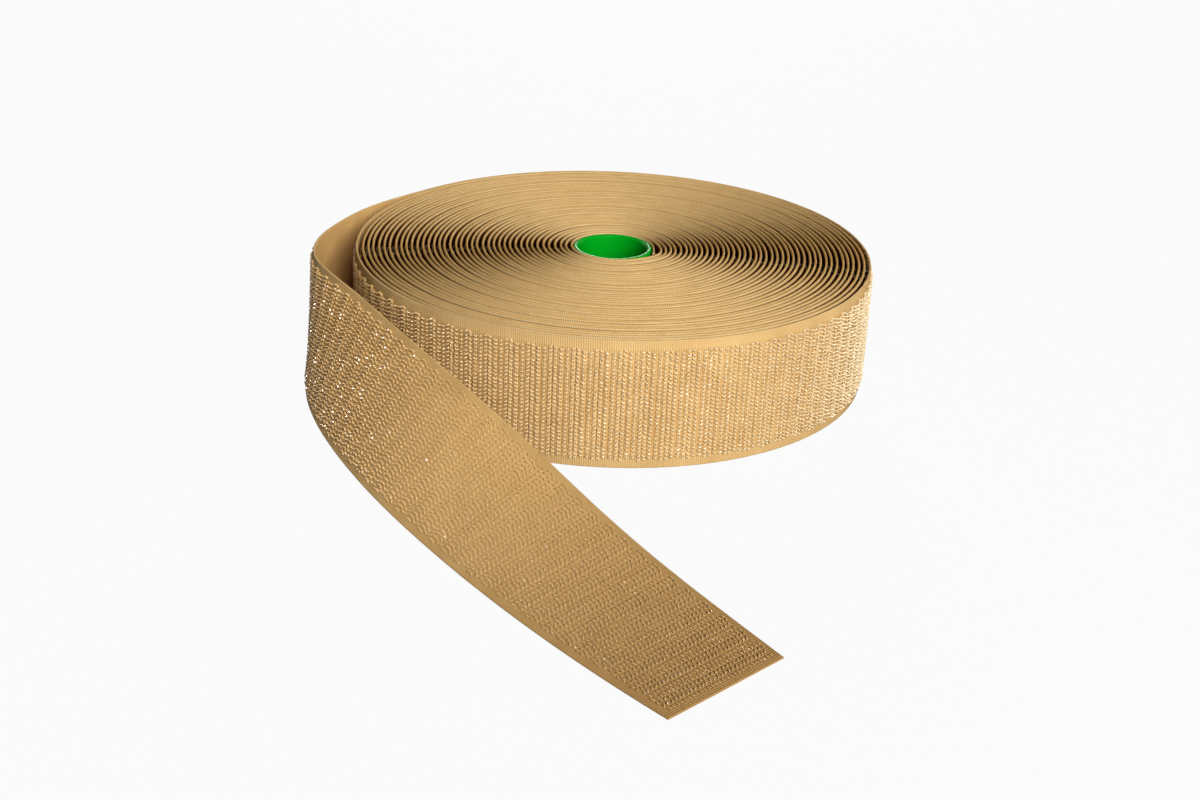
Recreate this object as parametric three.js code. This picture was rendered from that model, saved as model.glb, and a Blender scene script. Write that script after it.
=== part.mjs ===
// A roll of hook tape: a woven tape with a field of hooks on its outer face, wound on a plastic core.
// The last lap stands loose of the roll, and the free end twists over until it lies flat with its hooks up.
// Millimetres, +Z up. The origin is on the core's axis, on the surface that the roll stands on.
import * as THREE from "three";

// Tape
const TAPE_WIDTH = 50;
const GROUND_THICKNESS = 0.7;
const HOOK_HEIGHT = 1.2;
const SELVEDGE_WIDTH = 4; // bare edge on each side of the hooks

// Core
const CORE_OUTER_RADIUS = 16;
const CORE_WALL = 2;
const CORE_RECESS = 0.4; // from the tape's edges in to the core's rims
const CORE_SIDES = 48;
const RIM_STEPS = 3;

// Wound part: the real turns are thinner and more, and these loops fill the same space
const ROLL_RADIUS = 105; // outer face of the last turn, where the loose lap leaves it
const WHOLE_LOOPS = 23;
const INNER_END_ANGLE = -22;
const LEAVE_ANGLE = 138;
const LOOP_STEPS = 36;
const LOOP_GAP = 0.6;

// Loose part: how far the tape has turned since it left the roll, and how far it leans back from upright
const LOOSE_STATIONS = [
  { along: 0, turn: 0, lean: 0 },
  { along: 30, turn: 6, lean: 0 },
  { along: 60, turn: 22, lean: 0 },
  { along: 90, turn: 34, lean: 0 },
  { along: 110, turn: 43.5, lean: 4 },
  { along: 147, turn: 60, lean: 22.5 },
  { along: 221, turn: 72.5, lean: 46 },
  { along: 295, turn: 79, lean: 72 },
  { along: 388, turn: 87, lean: 90 },
];
const LAP_END = 90;
const TAIL_NEAR_END = 190;
const TAIL_MID_END = 290;
const LOOSE_STEP = 4; // between the drawn cross-sections
const PATH_STEP = 1; // between the points that the path is summed over

// Clearances
const FIT_GAP = 0.3;
const HINGE_GAP = 0.8; // between the ends of two lengths of tape that bend against each other
const HOOK_SETBACK = 1.2; // from those ends back to the hooks

const UP = new THREE.Vector3(0, 0, 1);
const FULL_TURN = 360;
const COLORS = { tape: 0xb98f55, hooks: 0xc7a06a, core: 0x07a024 };

function level(degrees, length) {
  const angle = THREE.MathUtils.degToRad(degrees);
  return new THREE.Vector3(Math.cos(angle), Math.sin(angle), 0).multiplyScalar(length);
}

function woven(color) {
  return new THREE.MeshStandardMaterial({ color, roughness: 0.85, metalness: 0 });
}

function plastic(color) {
  return new THREE.MeshStandardMaterial({ color, roughness: 0.25, metalness: 0 });
}

function piece(name, geometry, material) {
  const mesh = new THREE.Mesh(geometry, material);
  mesh.name = name;
  return mesh;
}

// One cross-section of a strip: out along its inner face, then back along its outer face.
function section(frame, widths, inner, outer) {
  const point = (width, height) =>
    frame.origin.clone().addScaledVector(frame.across, width).addScaledVector(frame.outward, height);
  const there = widths.map((width) => point(width, inner));
  const back = widths.map((width) => point(width, outer)).reverse();
  return [...there, ...back];
}

// A closed strip through its cross-sections, with square-cut ends. The creases on its two faces run the same
// way, so that strips laid face to face keep their gap where they twist.
function strip(sections) {
  const count = sections[0].length;
  const faces = [];
  const quad = (a, b, c, d) => faces.push(a, b, c, a, c, d);
  for (let i = 0; i + 1 < sections.length; i++) {
    for (let j = 0; j < count; j++) {
      const next = (j + 1) % count;
      const corners = [i * count + j, i * count + next, (i + 1) * count + next, (i + 1) * count + j];
      if (j >= count / 2) corners.push(corners.shift());
      quad(...corners);
    }
  }
  const end = (sections.length - 1) * count;
  for (let j = 0; j + 1 < count / 2; j++) {
    const facing = count - 1 - j;
    quad(facing, facing - 1, j + 1, j);
    quad(end + j, end + j + 1, end + facing - 1, end + facing);
  }
  return new THREE.BufferGeometry().setFromPoints(sections.flat()).setIndex(faces);
}

// Core: a tube with rounded rims.
function coreGeometry() {
  const rim = CORE_WALL / 2;
  const middle = CORE_OUTER_RADIUS - rim;
  const low = CORE_RECESS + rim;
  const high = TAPE_WIDTH - CORE_RECESS - rim;
  const profile = new THREE.Path();
  profile.moveTo(CORE_OUTER_RADIUS, low);
  profile.lineTo(CORE_OUTER_RADIUS, high);
  profile.absarc(middle, high, rim, 0, Math.PI, false);
  profile.absarc(middle, low, rim, Math.PI, 2 * Math.PI, false);
  return new THREE.LatheGeometry(profile.getPoints(RIM_STEPS), CORE_SIDES).rotateX(Math.PI / 2);
}

// Wound part: a spiral whose pitch takes it from the core to the roll's outer radius.
const woundAngle = WHOLE_LOOPS * FULL_TURN + LEAVE_ANGLE - INNER_END_ANGLE;
const woundSteps = Math.round((woundAngle / FULL_TURN) * LOOP_STEPS);
const innerFace = CORE_OUTER_RADIUS + FIT_GAP;
const loopPitch = (ROLL_RADIUS + LOOP_GAP - innerFace) / (woundAngle / FULL_TURN + 1);
const loopThickness = loopPitch - LOOP_GAP;

function woundFrame(step) {
  const angle = (woundAngle * step) / woundSteps;
  const radius = innerFace + (loopPitch * angle) / FULL_TURN;
  const outward = level(INNER_END_ANGLE + angle, 1);
  return { origin: outward.clone().multiplyScalar(radius), across: UP, outward };
}

function woundSections() {
  const sections = [];
  for (let step = 0; step <= woundSteps; step++) {
    sections.push(section(woundFrame(step), [0, TAPE_WIDTH], 0, loopThickness));
  }
  return sections;
}

// The least distance between points of the spiral that lie more than half a loop apart along it.
function leastGap(sections) {
  const rings = sections.map((ring) => [ring[0], ring[ring.length - 1]]);
  const halfLoop = Math.round(LOOP_STEPS / 2);
  let least = Infinity;
  for (let i = 0; i < rings.length; i++) {
    for (let j = i + halfLoop; j < rings.length; j++) {
      for (const here of rings[i]) {
        for (const there of rings[j]) {
          least = Math.min(least, here.distanceTo(there));
        }
      }
    }
  }
  return least;
}

const hookWidths = [SELVEDGE_WIDTH, TAPE_WIDTH - SELVEDGE_WIDTH];
const groundWidths = [0, ...hookWidths, TAPE_WIDTH];
const hookFoot = GROUND_THICKNESS + FIT_GAP;

// Hooks on the outside of the last loop, stopping short of the place where the lap leaves it.
function rollHookSections() {
  const setback = THREE.MathUtils.radToDeg(HOOK_SETBACK / ROLL_RADIUS);
  const stepAngle = woundAngle / woundSteps;
  const first = woundSteps - LOOP_STEPS + setback / stepAngle;
  const last = woundSteps - setback / stepAngle;
  const foot = loopThickness + FIT_GAP;
  const inside = [];
  for (let step = woundSteps - LOOP_STEPS + 1; step < woundSteps; step++) {
    inside.push(step);
  }
  const steps = [first, ...inside, last];
  return steps.map((step) => section(woundFrame(step), hookWidths, foot, foot + HOOK_HEIGHT));
}

// Loose part: its path runs along the floor under the tape's inner face.
const looseShape = new THREE.CubicInterpolant(
  LOOSE_STATIONS.map((station) => station.along),
  LOOSE_STATIONS.flatMap((station) => [station.turn, station.lean]),
  2,
);

function looseHeading(along) {
  return level(LEAVE_ANGLE + FULL_TURN / 4 + looseShape.evaluate(along)[0], 1);
}

function looseFrame(along) {
  const origin = level(LEAVE_ANGLE, ROLL_RADIUS - GROUND_THICKNESS);
  const count = Math.ceil(along / PATH_STEP);
  for (let i = 0; i < count; i++) {
    origin.addScaledVector(looseHeading(((i + 0.5) * along) / count), along / count);
  }
  const lean = THREE.MathUtils.degToRad(looseShape.evaluate(along)[1]);
  const side = looseHeading(along).cross(UP);
  const across = UP.clone().multiplyScalar(Math.cos(lean)).addScaledVector(side, -Math.sin(lean));
  const outward = side.clone().multiplyScalar(Math.cos(lean)).addScaledVector(UP, Math.sin(lean));
  return { origin, across, outward };
}

function looseSections(stops, widths, inner, outer) {
  return stops.map((along) => section(looseFrame(along), widths, inner, outer));
}

// One length of loose tape and its hooks, as a group that bends about the hinge at its start.
function looseLength(name, hinge, end, endSetback) {
  const start = hinge + HINGE_GAP / 2;
  const count = Math.ceil((end - start) / LOOSE_STEP);
  const stops = Array.from({ length: count + 1 }, (_, i) => start + ((end - start) * i) / count);
  const hooksFrom = start + HOOK_SETBACK;
  const hooksTo = end - endSetback;
  const between = stops.filter((along) => along > hooksFrom + FIT_GAP && along < hooksTo - FIT_GAP);
  const ground = looseSections(stops, groundWidths, 0, GROUND_THICKNESS);
  const hookStops = [hooksFrom, ...between, hooksTo];
  const hooks = looseSections(hookStops, hookWidths, hookFoot, hookFoot + HOOK_HEIGHT);
  const frame = looseFrame(hinge);
  const group = new THREE.Group();
  group.add(piece(name + "_tape", strip(ground), woven(COLORS.tape)));
  group.add(piece(name + "_hooks", strip(hooks), woven(COLORS.hooks)));
  group.userData.hinge = {
    position: frame.origin.clone().addScaledVector(frame.outward, GROUND_THICKNESS / 2),
    axis: frame.across.clone().negate(),
  };
  return group;
}

const looseEnd = LOOSE_STATIONS[LOOSE_STATIONS.length - 1].along;
const wound = woundSections();
console.log("least gap between loops, mm:", leastGap(wound).toFixed(2));

const roll = new THREE.Group();
roll.add(piece("core_tube", coreGeometry(), plastic(COLORS.core)));
roll.add(piece("wound_tape", strip(wound), woven(COLORS.tape)));
roll.add(piece("roll_hooks", strip(rollHookSections()), woven(COLORS.hooks)));
roll.add(looseLength("lap", HINGE_GAP / 2, LAP_END - HINGE_GAP / 2, HOOK_SETBACK));
roll.add(looseLength("tail_near", LAP_END, TAIL_NEAR_END - HINGE_GAP / 2, HOOK_SETBACK));
roll.add(looseLength("tail_mid", TAIL_NEAR_END, TAIL_MID_END - HINGE_GAP / 2, HOOK_SETBACK));
roll.add(looseLength("tail_end", TAIL_MID_END, looseEnd, 0));

export default roll;
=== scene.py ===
# A roll of tan woven hook tape on a green plastic core, with its loose end laid out in front.
# Sizes are in millimetres and turned into metres where a mesh is made. Angles are in degrees.
import math

import bpy
import numpy as np
from mathutils import Matrix, Vector


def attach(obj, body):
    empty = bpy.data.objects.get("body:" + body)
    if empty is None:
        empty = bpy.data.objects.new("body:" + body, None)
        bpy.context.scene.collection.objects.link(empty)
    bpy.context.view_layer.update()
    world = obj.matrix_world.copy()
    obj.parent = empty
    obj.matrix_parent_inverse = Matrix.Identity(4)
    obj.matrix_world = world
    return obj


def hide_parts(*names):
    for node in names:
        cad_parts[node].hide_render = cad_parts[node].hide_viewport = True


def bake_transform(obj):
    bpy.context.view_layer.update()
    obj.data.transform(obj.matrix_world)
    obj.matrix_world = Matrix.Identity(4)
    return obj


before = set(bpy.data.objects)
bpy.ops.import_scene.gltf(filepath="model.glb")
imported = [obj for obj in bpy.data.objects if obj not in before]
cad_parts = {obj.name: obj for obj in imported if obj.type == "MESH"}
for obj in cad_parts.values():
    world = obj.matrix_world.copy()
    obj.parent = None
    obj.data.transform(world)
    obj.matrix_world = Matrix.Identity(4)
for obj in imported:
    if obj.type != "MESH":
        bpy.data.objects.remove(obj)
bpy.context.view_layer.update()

MM = 0.001
UP = np.array([0.0, 0.0, 1.0])
FULL_TURN = 360.0
RANDOM_SEED = 41
WHITE = (1, 1, 1, 1)

# The tape: a woven ground with a field of hooks on its face, between two bare selvedges. The face lies
# that far out from the path that the tape follows, and the back lies in from it by the rest.
TAPE_WIDTH = 50.0
GROUND_THICKNESS = 0.9
GROUND_FACE = 0.7
EDGE_STEPS = 6
END_RING = 0.02
SELVEDGE_WIDTH = 3.6

# The core.
CORE_OUTER_RADIUS = 16.0
CORE_WALL = 2.0
CORE_RECESS = 0.4
CORE_SIDES = 128
CORE_RIM_STEPS = 8
CORE_WALL_STEPS = 7

# The winding. Its first turns hug the core, and each steps up where the next one starts.
ROLL_RADIUS = 105.0
WHOLE_TURNS = 40
INNER_END_ANGLE = -22.0
LEAVE_ANGLE = 138.0
TURN_STEPS = 144
CORE_GAP = 0.2
STEP_SHARPNESS = 4.0
STEP_KEEP = 0.72
MIDDLE_RISE = 0.2

# The inner end lifts off the core, and the turns over it bulge.
END_LIFT = 1.3
END_LIFT_TURNS = 28.0 / FULL_TURN
BULGE = 1.6
BULGE_TURNS = 26.0 / FULL_TURN
BULGE_KEEP = 0.8

# Slow waves of the winding: size, number in a turn and start.
RADIUS_WAVES = [(0.1, 0.173, 1.0), (0.08, 1.31, 2.0), (0.06, 2.63, 0.5)]
HEIGHT_WAVES = [(0.12, 0.41, 0.3), (0.07, 1.7, 1.1)]

# The hook field: filaments stand in columns, four to a zigzag.
COLUMN_PITCH = 1.95
ZIGZAG_COLUMNS = 4
ZIGZAG_LENGTH = 8.2
ZIGZAG_SLANT = 22.0
ZIGZAG_SHIFTS = np.array([-1, 1, 1, -1])
ZIGZAG_LEANS = np.array([1, 1, -1, -1])
ROW_PITCH = 1.5
SPARE_ROWS = 2

# One filament stands up out of the ground, arches over and ends cut off above it.
FULL_HOOK = np.array([(-0.52, -0.2), (-0.54, 0.42), (-0.28, 0.82), (0.24, 0.82), (0.54, 0.36)])
FULL_HOOK_SIDES = 4
SMALL_HOOK = np.array([(-0.6, -0.1), (-0.4, 0.8), (0.3, 0.86), (0.62, 0.4)])
SMALL_HOOK_SIDES = 3
FILAMENT_RADIUS = 0.28
HOOK_HEIGHT = 1.15

# How unevenly the hooks stand, and how many of them have flat sides.
PLACE_JITTER = 0.06
TURN_JITTER = 7.0
TILT_JITTER = 0.12
HEIGHT_JITTER = 0.06
HEIGHT_LEAST = 0.82
HEIGHT_MOST = 1.1
FACETED_SHARE = 0.8

# Along the loose end the rows spread, and the hooks become lower and rounder.
ROW_SPREAD = 0.065
SPREAD_BY = 45.0
FLAT_FROM = 90.0
FLAT_BY = 250.0
FLAT_DROP = 0.35
FLAT_ROUNDING = 0.75

# The loose end: distance along the tape, turn of its heading and lean of its face.
LOOSE_ALONG = np.array([0.0, 30.0, 60.0, 90.0, 110.0, 147.0, 221.0, 295.0, 388.0])
LOOSE_TURN = np.array([0.0, 6.0, 22.0, 34.0, 43.5, 60.0, 72.5, 79.0, 87.0])
LOOSE_LEAN = np.array([0.0, 0.0, 0.0, 0.0, 4.0, 22.5, 46.0, 72.0, 90.0])
LOOSE_END = float(LOOSE_ALONG[-1])
LOOSE_STEP = 1.5
PATH_STEP = 1.0

# Where the pieces start and stop along the tape, from where it leaves the roll.
LAP_START = -30.0
JOINS = [45.0, 140.0, 240.0]
LEAST_LAST_STEP = 0.5
ROLL_HOOK_PARTS = 3

# The filler and the small hooks of the covered turns: where they start from the inner end of the tape,
# where they lie across it, and how far the filler lies out from its path.
FILL_START = 30.0
FILL_STEP = 3.0
FILL_LOW = 5.4
FILL_HIGH = 44.4
FILL_BACK = 0.5
FILL_FACE = 1.7
EDGE_HOOKS_START = 2.0
EDGE_HOOKS_LOW = 44.6
EDGE_HOOKS_HIGH = 46.2

# The cut end is bare of hooks and slightly ragged.
CUT_CLEAR = 1.0
CUT_RAGGED = 0.25
CUT_RATES = (1.9, 0.7)

# The weave: pitch of its ribs and yarns, scale of its unevenness, and the share of each.
RIB_PITCH = 0.83
YARN_PITCH = 0.45
RIB_SHARE = 0.6
CHECK_SHARE = 0.4
WEAVE_SHARE = 0.32
FINE_SCALE = 2.5
FINE_SHARE = 0.5
BROAD_SCALE = 0.08
BROAD_DETAIL = 3.0
BROAD_SHARE = 0.7
FUZZ_SHARE = 0.8
WEAVE_DEPTH = 0.1

# The ground is darker between the hooks with painted shade,
# and paler again where they are low with painted light.
FIELD_MARGIN = 0.5
FIELD_PAINTED_SHADE = 0.2
FLAT_PAINTED_LIGHT = 0.35

# The ground is paler on the roll, and the hooks around its open side: a painted sheen.
# Both darken toward the cut end with painted shade.
PALE_RISE = 120.0
PALE_FALL = 40.0
HOOKS_SHEEN_FROM = -400.0
END_SHADE_FROM = 240.0
END_SHADE_SHARE = 0.6

# The covered turns have a browner rim, painted shade, and paler sides, a painted sheen.
# The gaps between them darken with painted shade.
RIM_DEPTH = 0.3
RIM_FADE = 0.25
GAP_EDGE = 0.55
GAP_FADE = 0.8

# Unevenness of the hooks, of the filler and of the plastic.
HOOK_SCALE = 0.6
PACKED_SCALE = 1.2
PACKED_DEPTH = 0.4
CLOUD_SCALE = 60.0
CLOUD_DETAIL = 3.0
GRAIN_SCALE = 220.0
GRAIN_STRENGTH = 0.12
GRAIN_DEPTH = 0.2

# Colours, mostly as a darker and a lighter one.
# The pale tape colours of the roll carry a painted sheen.
TAPE_PALE_SHEEN = (0.48, 0.265, 0.085), (0.83, 0.565, 0.25)
TAPE_FULL = (0.49, 0.265, 0.08), (0.83, 0.535, 0.21)
# Paler sides of the covered turns are a painted sheen, and their browner rim is painted shade.
TURN_SIDES_SHEEN = (0.52, 0.32, 0.125), (0.89, 0.67, 0.35)
TURN_RIM_SHADE = (0.45, 0.215, 0.048), (0.78, 0.455, 0.14)
# Painted shade in the gaps between the covered turns.
GAP_SHADE_COLOUR = (0.09, 0.018, 0.001)
# Painted shade toward the cut end.
CUT_END_SHADE = (0.2, 0.085, 0.018)
# The pale hook colours carry a painted sheen.
HOOKS_PALE_SHEEN = (0.74, 0.56, 0.295), (0.95, 0.80, 0.525)
HOOKS_FULL = (0.64, 0.385, 0.13), (0.86, 0.585, 0.25)
# The packed hooks are near black: painted shade deep between the turns.
PACKED_SHADE_COLOURS = (0.05, 0.015, 0.002), (0.18, 0.075, 0.016)
PLASTIC_COLOURS = (0.0, 0.30, 0.008), (0.0, 0.37, 0.014)

# The floor, in metres, its shade under the white, how white it looks, and the strength of the surround.
FLOOR_SIZE = 8.0
FLOOR_DROP = 0.02 * MM
FLOOR_TONE = 0.3
FLOOR_WHITE = 0.95
AMBIENT = 0.03

# The lamps, in metres and watts: name, azimuth, elevation, size, power and whether it lights matt surfaces.
LAMP_DISTANCE = 2.0
LAMPS = [
    ("key", -66, 32, 1.2, 42.0, True),
    ("fill", -72, 12, 1.0, 10.0, True),
    ("back", 90, 8, 0.5, 24.0, True),
    ("shine_left", 142, 6, 0.4, 28.0, False),
    ("shine_right", 38, 6, 0.4, 8.0, False),
]

# The camera.
CAMERA_PLACE = (0, -686.9, 284.4)
CAMERA_YAW = -0.2
CAMERA_PITCH = 23.81
CAMERA_ROLL = 2.5
SENSOR_WIDTH = 36.0
FOCAL_LENGTH = 53.55
NEAREST_SEEN = 10.0

random = np.random.default_rng(RANDOM_SEED)


# The path of the tape.
def spline(values, along):
    """A smooth curve through the stations, with the mean of the neighbouring slopes at each."""
    slopes = np.diff(values) / np.diff(LOOSE_ALONG)
    tangents = np.concatenate([slopes[:1], (slopes[:-1] + slopes[1:]) / 2, slopes[-1:]])
    i = np.clip(np.searchsorted(LOOSE_ALONG, along, side="right") - 1, 0, len(slopes) - 1)
    span = LOOSE_ALONG[i + 1] - LOOSE_ALONG[i]
    p = (along - LOOSE_ALONG[i]) / span
    rise = values[i] * (2 * p**3 - 3 * p**2 + 1) + values[i + 1] * (3 * p**2 - 2 * p**3)
    return rise + span * (tangents[i] * (p**3 - 2 * p**2 + p) + tangents[i + 1] * (p**3 - p**2))


def loose_heading(along):
    angle = np.radians(LEAVE_ANGLE + FULL_TURN / 4 + spline(LOOSE_TURN, along))
    return np.stack([np.cos(angle), np.sin(angle), np.zeros_like(angle)], -1)


path_stops = np.arange(0.0, LOOSE_END + PATH_STEP, PATH_STEP)
path_steps = loose_heading(path_stops[:-1] + PATH_STEP / 2) * PATH_STEP
leave = math.radians(LEAVE_ANGLE)
leave_point = (ROLL_RADIUS - GROUND_FACE) * np.array([math.cos(leave), math.sin(leave), 0.0])
path_points = leave_point + np.concatenate([np.zeros((1, 3)), np.cumsum(path_steps, 0)])

wound_turns = WHOLE_TURNS + (LEAVE_ANGLE - INNER_END_ANGLE) / FULL_TURN
inner_radius = CORE_OUTER_RADIUS + CORE_GAP
turn_pitch = (ROLL_RADIUS - GROUND_FACE - inner_radius) / wound_turns


def fade(turns):
    """Nothing at the two ends of the winding, and whole between them."""
    return np.clip(turns, 0, 1) * np.clip(wound_turns - turns, 0, 1)


def waver(turns, parts):
    """A slow uneven drift along the winding."""
    waves = [size * np.sin(2 * math.pi * rate * turns + start) for size, rate, start in parts]
    return fade(turns) * np.sum(waves, 0)


def wound_radius(turns):
    """Radius of the tape's path, so many turns from the inner end."""
    whole = np.floor(turns)
    step = 1 + STEP_SHARPNESS * STEP_KEEP**whole
    climb = whole + (turns - whole) ** step
    lift = END_LIFT * np.clip(1 - turns / END_LIFT_TURNS, 0, 1) ** 2
    nearest = np.maximum(np.round(turns), 1)
    bulge = BULGE * BULGE_KEEP ** (nearest - 1) * np.exp(-(((turns - nearest) / BULGE_TURNS) ** 2))
    drift = waver(turns, RADIUS_WAVES)
    return inner_radius + turn_pitch * climb + lift + bulge * fade(turns) + drift


wound_stops = np.linspace(0, wound_turns, round(wound_turns * TURN_STEPS) + 1)
wound_middle = wound_radius((wound_stops[:-1] + wound_stops[1:]) / 2) * np.diff(wound_stops)
wound_along = np.concatenate([[0], np.cumsum(2 * math.pi * wound_middle)])
wound_length = wound_along[-1]
wound_along -= wound_length
outer_turn = -2 * math.pi * (ROLL_RADIUS - GROUND_FACE - turn_pitch / 2)


def tape_frames(along):
    """Where the path along the tape's lower edge runs, and the tape's directions across and outward.

    Distances below zero are on the roll.
    """
    along = np.asarray(along, float)
    turns = np.interp(along, wound_along, wound_stops)
    angle = np.radians(INNER_END_ANGLE) + 2 * math.pi * turns
    radial = np.stack([np.cos(angle), np.sin(angle), np.zeros_like(angle)], -1)
    rise = MIDDLE_RISE * fade(turns) + waver(turns, HEIGHT_WAVES)
    wound = radial * wound_radius(turns)[:, None] + UP * rise[:, None]
    free = np.maximum(along, 0)
    heading = loose_heading(free)
    side = np.cross(heading, UP)
    lean = np.radians(spline(LOOSE_LEAN, free))[:, None]
    points = [np.interp(free, path_stops, path_points[:, k]) for k in range(3)]
    on_roll = (along < 0)[:, None]
    origin = np.where(on_roll, wound, np.stack(points, -1))
    across = np.where(on_roll, UP, UP * np.cos(lean) - side * np.sin(lean))
    outward = np.where(on_roll, radial, side * np.cos(lean) + UP * np.sin(lean))
    return origin, across, outward


# Materials.
def new_material(name, **values):
    material = bpy.data.materials.new(name)
    material.use_nodes = True
    shader = material.node_tree.nodes["Principled BSDF"]
    for socket, value in values.items():
        shader.inputs[socket.replace("_", " ")].default_value = value
    return material, shader


def maths(tree, kind, first, second=0.0, clamp=False):
    made = tree.nodes.new("ShaderNodeMath")
    made.operation = kind
    made.use_clamp = clamp
    for socket, value in zip(made.inputs, (first, second)):
        if isinstance(value, (int, float)):
            socket.default_value = value
        else:
            tree.links.new(value, socket)
    return made.outputs[0]


def ramp(tree, place, start, length):
    """From nothing at the start to whole that much further on, or back where the length is negative."""
    return maths(tree, "DIVIDE", maths(tree, "SUBTRACT", place, start), length, True)


def tape_position(tree):
    """Place on the tape, and the distances along and across it, in millimetres."""
    place = tree.nodes.new("ShaderNodeUVMap")
    place.uv_map = "tape"
    split = tree.nodes.new("ShaderNodeSeparateXYZ")
    tree.links.new(place.outputs[0], split.inputs[0])
    return place.outputs[0], split.outputs[0], split.outputs[1]


def noise(tree, place, scale, detail=2.0):
    made = tree.nodes.new("ShaderNodeTexNoise")
    made.inputs["Scale"].default_value = scale
    made.inputs["Detail"].default_value = detail
    tree.links.new(place, made.inputs["Vector"])
    return made.outputs[0]


def blend_colours(tree, amount, low, high):
    made = tree.nodes.new("ShaderNodeMix")
    made.data_type = "RGBA"
    tree.links.new(amount, made.inputs["Factor"])
    for socket, colour in (("A", low), ("B", high)):
        if isinstance(colour, tuple):
            made.inputs[socket].default_value = (*colour, 1)
        else:
            tree.links.new(colour, made.inputs[socket])
    return made.outputs["Result"]


def bump(tree, height, strength, distance):
    made = tree.nodes.new("ShaderNodeBump")
    made.inputs["Strength"].default_value = strength
    made.inputs["Distance"].default_value = distance
    tree.links.new(height, made.inputs["Height"])
    return made.outputs[0]


def tape_colour(tree, along, amount, pale_from, pale_colours, full_colours):
    """The pale colours, a painted sheen, from there to where the tape leaves the roll, and painted shade
    toward the cut end.
    """
    before = ramp(tree, along, pale_from, -PALE_RISE)
    after = ramp(tree, along, 0.0, PALE_FALL)
    pale = blend_colours(tree, amount, *pale_colours)
    full = blend_colours(tree, amount, *full_colours)
    colour = blend_colours(tree, maths(tree, "MAXIMUM", before, after), pale, full)
    # Painted shade darkens the colours toward the cut end.
    end = ramp(tree, along, END_SHADE_FROM, LOOSE_END - END_SHADE_FROM)
    return blend_colours(tree, maths(tree, "MULTIPLY", end, END_SHADE_SHARE), colour, CUT_END_SHADE)


def weave_pattern(tree, along, across):
    """Crosswise ribs, broken up by the yarns."""
    rib = maths(tree, "SINE", maths(tree, "MULTIPLY", along, 2 * math.pi / RIB_PITCH))
    yarn = maths(tree, "SINE", maths(tree, "MULTIPLY", across, 2 * math.pi / YARN_PITCH))
    check = maths(tree, "MULTIPLY", rib, yarn)
    ribs = maths(tree, "MULTIPLY", rib, RIB_SHARE)
    return maths(tree, "ADD", ribs, maths(tree, "MULTIPLY", check, CHECK_SHARE))


def woven_material(name, field, wound=False):
    """The ground, with or without painted shade between the hooks of a field, loose or wound."""
    gloss = 0.0 if wound else 0.08
    material, shader = new_material(name, Roughness=0.85, Specular_IOR_Level=gloss)
    tree = material.node_tree
    place, along, across = tape_position(tree)
    weave = weave_pattern(tree, along, across)
    fine = noise(tree, place, FINE_SCALE)
    broad = maths(tree, "MULTIPLY", noise(tree, place, BROAD_SCALE, BROAD_DETAIL), BROAD_SHARE)
    uneven = maths(tree, "ADD", maths(tree, "MULTIPLY", fine, FINE_SHARE), broad)
    amount = maths(tree, "ADD", uneven, maths(tree, "MULTIPLY", weave, WEAVE_SHARE))
    if field:
        middle = maths(tree, "ABSOLUTE", maths(tree, "SUBTRACT", across, TAPE_WIDTH / 2))
        inside = maths(tree, "SUBTRACT", TAPE_WIDTH / 2 - SELVEDGE_WIDTH + FIELD_MARGIN, middle, True)
        flat = ramp(tree, along, FLAT_FROM, FLAT_BY - FLAT_FROM)
        # Painted shade between the hooks, turning to painted light where they are low.
        painted_shade = maths(tree, "SUBTRACT", FIELD_PAINTED_SHADE, maths(tree, "MULTIPLY", flat, FLAT_PAINTED_LIGHT))
        amount = maths(tree, "SUBTRACT", amount, maths(tree, "MULTIPLY", inside, painted_shade))
    colour = tape_colour(tree, along, amount, -wound_length, TAPE_PALE_SHEEN, TAPE_FULL)
    if wound:
        # Covered turns: a painted sheen on the paler sides, painted shade in the browner rim and in the
        # gaps.
        covered = maths(tree, "LESS_THAN", along, outer_turn)
        rim = ramp(tree, across, TAPE_WIDTH - RIM_DEPTH, RIM_FADE)
        side_colour = blend_colours(tree, amount, *TURN_SIDES_SHEEN)
        rim_colour = blend_colours(tree, amount, *TURN_RIM_SHADE)
        turn_colour = blend_colours(tree, rim, side_colour, rim_colour)
        colour = blend_colours(tree, covered, colour, turn_colour)
        gap_shade = ramp(tree, across, TAPE_WIDTH - GAP_EDGE, -GAP_FADE)
        colour = blend_colours(tree, maths(tree, "MULTIPLY", gap_shade, covered), colour, GAP_SHADE_COLOUR)
    tree.links.new(colour, shader.inputs["Base Color"])
    height = maths(tree, "ADD", weave, maths(tree, "MULTIPLY", fine, FUZZ_SHARE))
    tree.links.new(bump(tree, height, 1.0, WEAVE_DEPTH * MM), shader.inputs["Normal"])
    return material


def hook_material():
    material, shader = new_material("hook_filament", Roughness=0.25, Specular_IOR_Level=0.5)
    tree = material.node_tree
    place, along, _ = tape_position(tree)
    amount = noise(tree, place, HOOK_SCALE)
    colour = tape_colour(tree, along, amount, HOOKS_SHEEN_FROM, HOOKS_PALE_SHEEN, HOOKS_FULL)
    tree.links.new(colour, shader.inputs["Base Color"])
    return material


def fill_material():
    material, shader = new_material("packed_hooks", Roughness=0.8, Specular_IOR_Level=0.1)
    tree = material.node_tree
    amount = noise(tree, tape_position(tree)[0], PACKED_SCALE)
    # Near black colours: painted shade deep between the turns.
    tree.links.new(blend_colours(tree, amount, *PACKED_SHADE_COLOURS), shader.inputs["Base Color"])
    tree.links.new(bump(tree, amount, 1.0, PACKED_DEPTH * MM), shader.inputs["Normal"])
    return material


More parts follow.
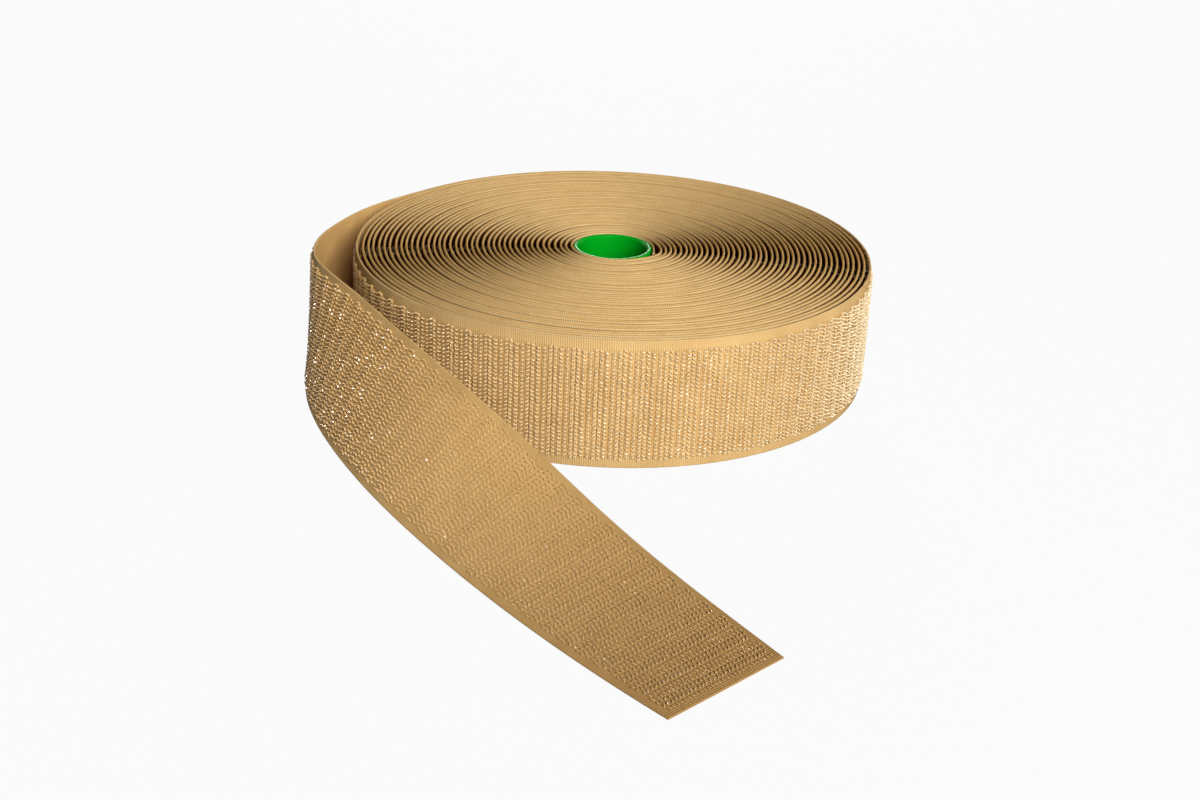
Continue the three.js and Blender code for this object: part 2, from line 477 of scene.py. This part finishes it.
def core_material():
    material, shader = new_material("green_plastic", Roughness=0.4, Specular_IOR_Level=0.04)
    tree = material.node_tree
    place = tree.nodes.new("ShaderNodeTexCoord").outputs["Object"]
    cloud = noise(tree, place, CLOUD_SCALE, CLOUD_DETAIL)
    tree.links.new(blend_colours(tree, cloud, *PLASTIC_COLOURS), shader.inputs["Base Color"])
    grain = bump(tree, noise(tree, place, GRAIN_SCALE), GRAIN_STRENGTH, GRAIN_DEPTH * MM)
    tree.links.new(grain, shader.inputs["Normal"])
    return material


woven = woven_material("woven_tape", field=False)
woven_field = woven_material("woven_hook_field", field=True)
wound_back = woven_material("wound_tape", field=False, wound=True)
wound_face = woven_material("wound_hook_field", field=True, wound=True)
filament = hook_material()
packed = fill_material()
green = core_material()


# Meshes.
def make_piece(name, points, face_sets, places, material, smooth=True):
    """A mesh of those faces, with each point's place on the tape, as an object of its own."""
    corners = np.concatenate([faces.ravel() for faces in face_sets])
    sizes = np.concatenate([np.full(len(faces), faces.shape[1]) for faces in face_sets])
    mesh = bpy.data.meshes.new(name)
    mesh.vertices.add(len(points))
    mesh.vertices.foreach_set("co", (points * MM).astype(np.float32).ravel())
    mesh.loops.add(len(corners))
    mesh.loops.foreach_set("vertex_index", corners.astype(np.int32))
    mesh.polygons.add(len(sizes))
    mesh.polygons.foreach_set("loop_start", (np.cumsum(sizes) - sizes).astype(np.int32))
    mesh.polygons.foreach_set("use_smooth", np.array(np.broadcast_to(smooth, len(sizes))))
    layer = mesh.uv_layers.new(name="tape")
    layer.data.foreach_set("uv", places[corners].astype(np.float32).ravel())
    mesh.update(calc_edges=True)
    mesh.validate()
    mesh.materials.append(material)
    piece = bpy.data.objects.new(name, mesh)
    bpy.context.scene.collection.objects.link(piece)
    return piece


def ring_faces(rows, count):
    """Quads between following rings of points."""
    i = np.arange(rows - 1)[:, None] * count
    j = np.arange(count)[None]
    after = (j + 1) % count
    return np.stack([i + j, i + after, i + count + after, i + count + j], -1).reshape(-1, 4)


def ground_section():
    """The woven ground's cross-section, as width and height, with rounded edges."""
    radius = GROUND_THICKNESS / 2
    arc = np.radians(np.linspace(-90, 90, EDGE_STEPS + 1))
    far = [(TAPE_WIDTH - radius + radius * math.cos(a), radius + radius * math.sin(a)) for a in arc]
    near = [(radius - radius * math.cos(a), radius - radius * math.sin(a)) for a in arc]
    return np.array(far + near) - (0, GROUND_THICKNESS - GROUND_FACE)


def strip(name, along, section, material, field=None, ragged=0.0):
    """A closed strip of that cross-section, with the field's material on its face.

    A ring close to each end keeps the end faces out of the shading of the sides.
    """
    along = np.concatenate([along[:1], along[:1] + END_RING, along[1:-1], along[-1:] - END_RING, along[-1:]])
    origin, across, outward = tape_frames(along)
    width = section[:, 0]
    height = section[:, 1]
    points = origin[:, None] + across[:, None] * width[None, :, None]
    points = points + outward[:, None] * height[None, :, None]
    if ragged:
        heading = np.cross(across[-1], outward[-1])
        uneven = ragged * np.sin(width * CUT_RATES[0]) * np.cos(width * CUT_RATES[1])
        points[-1] += heading * uneven[:, None]
    rows, count = points.shape[:2]
    places = np.stack(np.broadcast_arrays(along[:, None], width[None]), -1)
    first = np.arange(count)[None]
    faces = [ring_faces(rows, count), first[:, ::-1], first + (rows - 1) * count]
    smooth = np.arange(len(faces[0]) + 2) < len(faces[0])
    piece = make_piece(name, points.reshape(-1, 3), faces, places.reshape(-1, 2), material, smooth)
    if field:
        piece.data.materials.append(field)
        index = np.zeros(len(piece.data.polygons), np.int32)
        # The face is the quad between the two rounded edges, once in each ring.
        index[EDGE_STEPS : (rows - 1) * count : count] = 1
        piece.data.polygons.foreach_set("material_index", index)
    return piece


def hook_spots(first, last, low, high):
    """Where the filaments stand: along the tape, across it, their slant and which way they face."""
    first_column = math.floor(first / ZIGZAG_LENGTH) * ZIGZAG_COLUMNS
    last_column = math.ceil(last / ZIGZAG_LENGTH) * ZIGZAG_COLUMNS
    columns = np.arange(first_column, last_column)
    places = columns // ZIGZAG_COLUMNS * ZIGZAG_LENGTH + columns % ZIGZAG_COLUMNS * COLUMN_PITCH
    columns = columns[(places >= first) & (places < last)]
    places = places[(places >= first) & (places < last)]
    rise = COLUMN_PITCH * math.tan(math.radians(ZIGZAG_SLANT)) / 2
    shift = rise * ZIGZAG_SHIFTS[columns % ZIGZAG_COLUMNS]
    slant = ZIGZAG_SLANT * ZIGZAG_LEANS[columns % ZIGZAG_COLUMNS]
    rows = np.arange(-SPARE_ROWS, math.ceil(TAPE_WIDTH / ROW_PITCH) + SPARE_ROWS)
    across = SELVEDGE_WIDTH + rows[None] * ROW_PITCH + shift[:, None]
    along = np.broadcast_to(places[:, None], across.shape)
    slants = np.broadcast_to(slant[:, None], across.shape)
    facing = np.broadcast_to((1 - 2 * (columns % 2))[:, None], across.shape)
    kept = (across >= low) & (across <= high)
    return along[kept], across[kept], slants[kept], facing[kept]


def hooks(name, first, last, low, high, path, sides):
    """Separate filaments on a stretch of the tape, each a tube of so many sides along that path."""
    along, across, slant, facing = hook_spots(first, last, low, high)
    count = len(along)
    along = along + random.normal(0, PLACE_JITTER, count)
    spread = 1 + ROW_SPREAD * np.clip(along / SPREAD_BY, 0, 1)
    across = TAPE_WIDTH / 2 + (across - TAPE_WIDTH / 2) * spread + random.normal(0, PLACE_JITTER, count)
    turn = np.radians(slant + random.normal(0, TURN_JITTER, count))
    tilt = random.normal(0, TILT_JITTER, count)
    flat = np.clip((along - FLAT_FROM) / (FLAT_BY - FLAT_FROM), 0, 1)
    uneven = np.clip(random.normal(1, HEIGHT_JITTER, count), HEIGHT_LEAST, HEIGHT_MOST)
    tall = HOOK_HEIGHT / HEIGHT_MOST * uneven * (1 - FLAT_DROP * flat)
    origin, over, outward = tape_frames(along)
    heading = np.cross(over, outward)
    run, rise = np.gradient(path, axis=0).T[:, None, :, None]
    angle = 2 * math.pi * (np.arange(sides) / sides + random.random((count, 1)))
    angle = angle[:, None]
    swell = FILAMENT_RADIUS * np.sin(angle) / np.hypot(run, rise)
    tall = tall[:, None, None] * (path[:, 1][:, None] + swell * run)
    reach = (path[:, 0][:, None] - swell * rise) * facing[:, None, None]
    aside = FILAMENT_RADIUS * np.cos(angle) * facing[:, None, None] + tall * tilt[:, None, None]
    height = tall + GROUND_FACE
    cos = np.cos(turn)[:, None, None]
    sin = np.sin(turn)[:, None, None]
    forward = reach * cos - aside * sin
    sideways = reach * sin + aside * cos + across[:, None, None]
    points = origin[:, None, None] + heading[:, None, None] * forward[..., None]
    points = points + over[:, None, None] * sideways[..., None] + outward[:, None, None] * height[..., None]
    stops = len(path)
    each = stops * sides
    base = (np.arange(count) * each)[:, None, None]
    walls = (base + ring_faces(stops, sides)[None]).reshape(-1, 4)
    tip = (base[:, 0] + np.arange(each - sides, each)[None]).reshape(-1, sides)
    foot = (base[:, 0] + np.arange(sides)[None, ::-1]).reshape(-1, sides)
    spots = np.stack([forward + along[:, None, None], sideways], -1).reshape(-1, 2)
    rounded = random.random(count) > FACETED_SHARE - FLAT_ROUNDING * flat
    smooth = np.concatenate([np.repeat(rounded, len(walls) // count), rounded, rounded])
    return make_piece(name, points.reshape(-1, 3), [walls, tip, foot], spots, filament, smooth)


def core():
    """A plastic tube with rounded rims."""
    rim = CORE_WALL / 2
    middle = CORE_OUTER_RADIUS - rim
    low = CORE_RECESS + rim
    high = TAPE_WIDTH - CORE_RECESS - rim
    arc = np.radians(np.linspace(0, 180, CORE_RIM_STEPS + 1))
    heights = np.linspace(low, high, CORE_WALL_STEPS + 1)[1:-1]
    top = [(middle + rim * math.cos(a), high + rim * math.sin(a)) for a in arc]
    bottom = [(middle - rim * math.cos(a), low - rim * math.sin(a)) for a in arc]
    inner = [(middle - rim, height) for height in heights[::-1]]
    outer = [(middle + rim, height) for height in heights]
    profile = np.array(top + inner + bottom + outer)
    angle = 2 * math.pi * np.arange(CORE_SIDES) / CORE_SIDES
    ring = np.stack([np.cos(angle), np.sin(angle)], -1)
    points = np.zeros((CORE_SIDES, len(profile), 3))
    points[..., :2] = ring[:, None] * profile[None, :, :1]
    points[..., 2] = profile[None, :, 1]
    points = points.reshape(-1, 3)
    i = np.arange(CORE_SIDES)[:, None] * len(profile)
    j = np.arange(len(profile))[None]
    after = (j + 1) % len(profile)
    on = (i + len(profile)) % len(points)
    faces = np.stack([i + j, on + j, on + after, i + after], -1).reshape(-1, 4)
    places = np.stack([points[:, 0], points[:, 2]], -1)
    return make_piece("core", points, [faces], places, green)


# The pieces.
section = ground_section()
fill_section = np.array(
    [(FILL_LOW, FILL_BACK), (FILL_HIGH, FILL_BACK), (FILL_HIGH, FILL_FACE), (FILL_LOW, FILL_FACE)]
)

core_piece = core()
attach(core_piece, "roll")
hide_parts("core_tube")

wound_stations = np.append(wound_along[wound_along < LAP_START - LEAST_LAST_STEP], LAP_START)
wound = strip("wound_tape_turns", wound_stations, section, wound_back, wound_face)
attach(wound, "roll")
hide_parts("wound_tape")

fill_stops = np.arange(-wound_length + FILL_START, outer_turn, FILL_STEP)
fill = strip("packed_hooks", fill_stops, fill_section, packed)
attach(fill, "roll")

stretch = (-wound_length + EDGE_HOOKS_START, outer_turn, EDGE_HOOKS_LOW, EDGE_HOOKS_HIGH)
edge_hooks = hooks("wound_edge_hooks", *stretch, SMALL_HOOK, SMALL_HOOK_SIDES)
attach(edge_hooks, "roll")

field_low = SELVEDGE_WIDTH
field_high = TAPE_WIDTH - SELVEDGE_WIDTH
marks = np.linspace(outer_turn, LAP_START, ROLL_HOOK_PARTS + 1)
for k in range(ROLL_HOOK_PARTS):
    stretch = (marks[k], marks[k + 1], field_low, field_high)
    part = hooks(f"roll_hooks_{k + 1}", *stretch, FULL_HOOK, FULL_HOOK_SIDES)
    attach(part, "roll")
    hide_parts("roll_hooks")


def bend(piece):
    """The piece's placement is baked into its mesh."""
    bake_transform(piece)


# Each length of the loose end: name, the two bodies it joins, where it starts and stops, how far from
# the hinge it bends, and the nodes that its tape and its hooks replace.
lengths = [
    ("lap", "roll", "lap", LAP_START, JOINS[0], 12.0, ["lap_tape"], ["lap_hooks"]),
    ("near", "lap", "tail_near", JOINS[0], JOINS[1], 30.0, ["tail_near_tape"], ["tail_near_hooks"]),
    ("mid", "tail_near", "tail_mid", JOINS[1], JOINS[2], 32.0, ["tail_mid_tape"], ["tail_mid_hooks"]),
    ("end", "tail_mid", "tail_end", JOINS[2], LOOSE_END, 35.0, ["tail_end_tape"], ["tail_end_hooks"]),
]
for name, first_body, second_body, first, last, reach, tape_nodes, hook_nodes in lengths:
    ragged = CUT_RAGGED if last == LOOSE_END else 0.0
    stops = np.linspace(first, last, round((last - first) / LOOSE_STEP) + 1)
    tape = strip(f"loose_tape_{name}", stops, section, woven, woven_field, ragged)
    bend(tape)
    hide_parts(*tape_nodes)
    stop = last - CUT_CLEAR if last == LOOSE_END else last
    stretch = (first, stop, field_low, field_high)
    field = hooks(f"loose_hooks_{name}", *stretch, FULL_HOOK, FULL_HOOK_SIDES)
    bend(field)
    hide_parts(*hook_nodes)


# The floor, the light and the camera.
def show_white(tree, lit, kind, share, output):
    """White in the picture, in reflections and through glass, and the lit shader for all other light."""
    white = tree.nodes.new(kind)
    white.inputs["Color"].default_value = WHITE
    white.inputs["Strength"].default_value = 1.0
    rays = tree.nodes.new("ShaderNodeLightPath")
    seen = maths(tree, "ADD", rays.outputs["Is Camera Ray"], rays.outputs["Is Glossy Ray"])
    seen = maths(tree, "ADD", seen, rays.outputs["Is Transmission Ray"])
    mix = tree.nodes.new("ShaderNodeMixShader")
    tree.links.new(maths(tree, "MULTIPLY", seen, share), mix.inputs["Fac"])
    tree.links.new(lit.outputs[0], mix.inputs[1])
    tree.links.new(white.outputs[0], mix.inputs[2])
    tree.links.new(mix.outputs[0], tree.nodes[output].inputs["Surface"])


def white_floor():
    grey = (FLOOR_TONE, FLOOR_TONE, FLOOR_TONE, 1)
    material, shader = new_material("floor", Base_Color=grey, Roughness=0.9, Specular_IOR_Level=0.1)
    show_white(material.node_tree, shader, "ShaderNodeEmission", FLOOR_WHITE, "Material Output")
    bpy.ops.mesh.primitive_plane_add(size=FLOOR_SIZE, location=(0, 0, -FLOOR_DROP))
    floor = bpy.context.object
    floor.name = "floor"
    floor.data.materials.append(material)


def surround():
    world = bpy.data.worlds.new("studio")
    world.use_nodes = True
    ambient = world.node_tree.nodes["Background"]
    ambient.inputs["Color"].default_value = WHITE
    ambient.inputs["Strength"].default_value = AMBIENT
    show_white(world.node_tree, ambient, "ShaderNodeBackground", 1.0, "World Output")
    bpy.context.scene.world = world


def light(name, azimuth, elevation, size, power, lights_matt):
    lamp = bpy.data.lights.new(name, "AREA")
    lamp.shape = "DISK"
    lamp.size = size
    lamp.energy = power
    made = bpy.data.objects.new(name, lamp)
    a = math.radians(azimuth)
    e = math.radians(elevation)
    place = Vector((math.cos(a) * math.cos(e), math.sin(a) * math.cos(e), math.sin(e))) * LAMP_DISTANCE
    made.location = place
    made.rotation_euler = place.to_track_quat("Z", "Y").to_euler()
    made.visible_diffuse = lights_matt
    bpy.context.scene.collection.objects.link(made)


def camera():
    yaw = math.radians(CAMERA_YAW)
    pitch = math.radians(CAMERA_PITCH)
    roll = math.radians(CAMERA_ROLL)
    ahead = Vector((math.sin(yaw) * math.cos(pitch), math.cos(yaw) * math.cos(pitch), -math.sin(pitch)))
    level = Vector((math.cos(yaw), -math.sin(yaw), 0))
    upright = level.cross(ahead)
    right = level * math.cos(roll) + upright * math.sin(roll)
    top = upright * math.cos(roll) - level * math.sin(roll)
    lens = bpy.data.cameras.new("camera")
    lens.sensor_fit = "HORIZONTAL"
    lens.sensor_width = SENSOR_WIDTH
    lens.lens = FOCAL_LENGTH
    lens.clip_start = NEAREST_SEEN * MM
    made = bpy.data.objects.new("camera", lens)
    turn = Matrix((right, top, -ahead)).transposed()
    made.matrix_world = Matrix.Translation(Vector(CAMERA_PLACE) * MM) @ turn.to_4x4()
    bpy.context.scene.collection.objects.link(made)
    bpy.context.scene.camera = made


white_floor()
surround()
for lamp in LAMPS:
    light(*lamp)
camera()
bpy.context.scene.view_settings.view_transform = "Standard"
